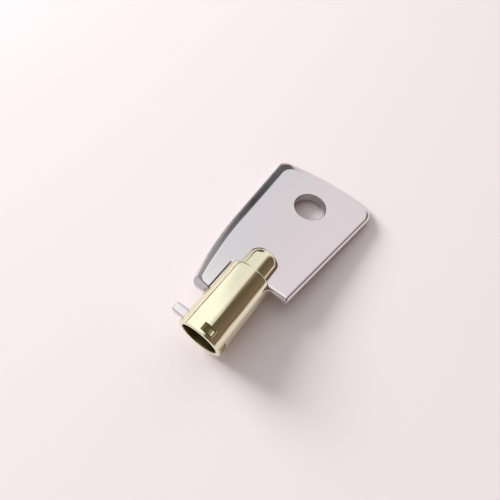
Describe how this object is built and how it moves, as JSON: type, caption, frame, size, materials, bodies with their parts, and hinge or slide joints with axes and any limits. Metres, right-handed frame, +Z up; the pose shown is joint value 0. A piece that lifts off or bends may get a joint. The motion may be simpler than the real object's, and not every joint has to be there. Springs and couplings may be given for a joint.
{
  "type": "tubular key",
  "caption": "Tubular key for a key-operated selector switch: brass barrel with a drive lug, and a flat plated head with a ring hole.",
  "frame": {"origin": "middle of the key's footprint, on the surface it lies on", "axes": "+Z up from that surface, +Y from the barrel's open mouth towards the head's far edge, +X across the head, away from the drive lug. The key lies tilted about X, its mouth raised, so the barrel's axis and the head slope down towards +Y by 6.51 degrees."},
  "size_m": [0.0252, 0.0478, 0.0111],
  "materials": {
    "brass": "polished turned brass",
    "plated_steel": "bright nickel plating on stamped steel"
  },
  "bodies": {
    "root": {"barrel": "brass", "head": "plated_steel", "drive_lug": "plated_steel"}
  },
  "joints": []
}
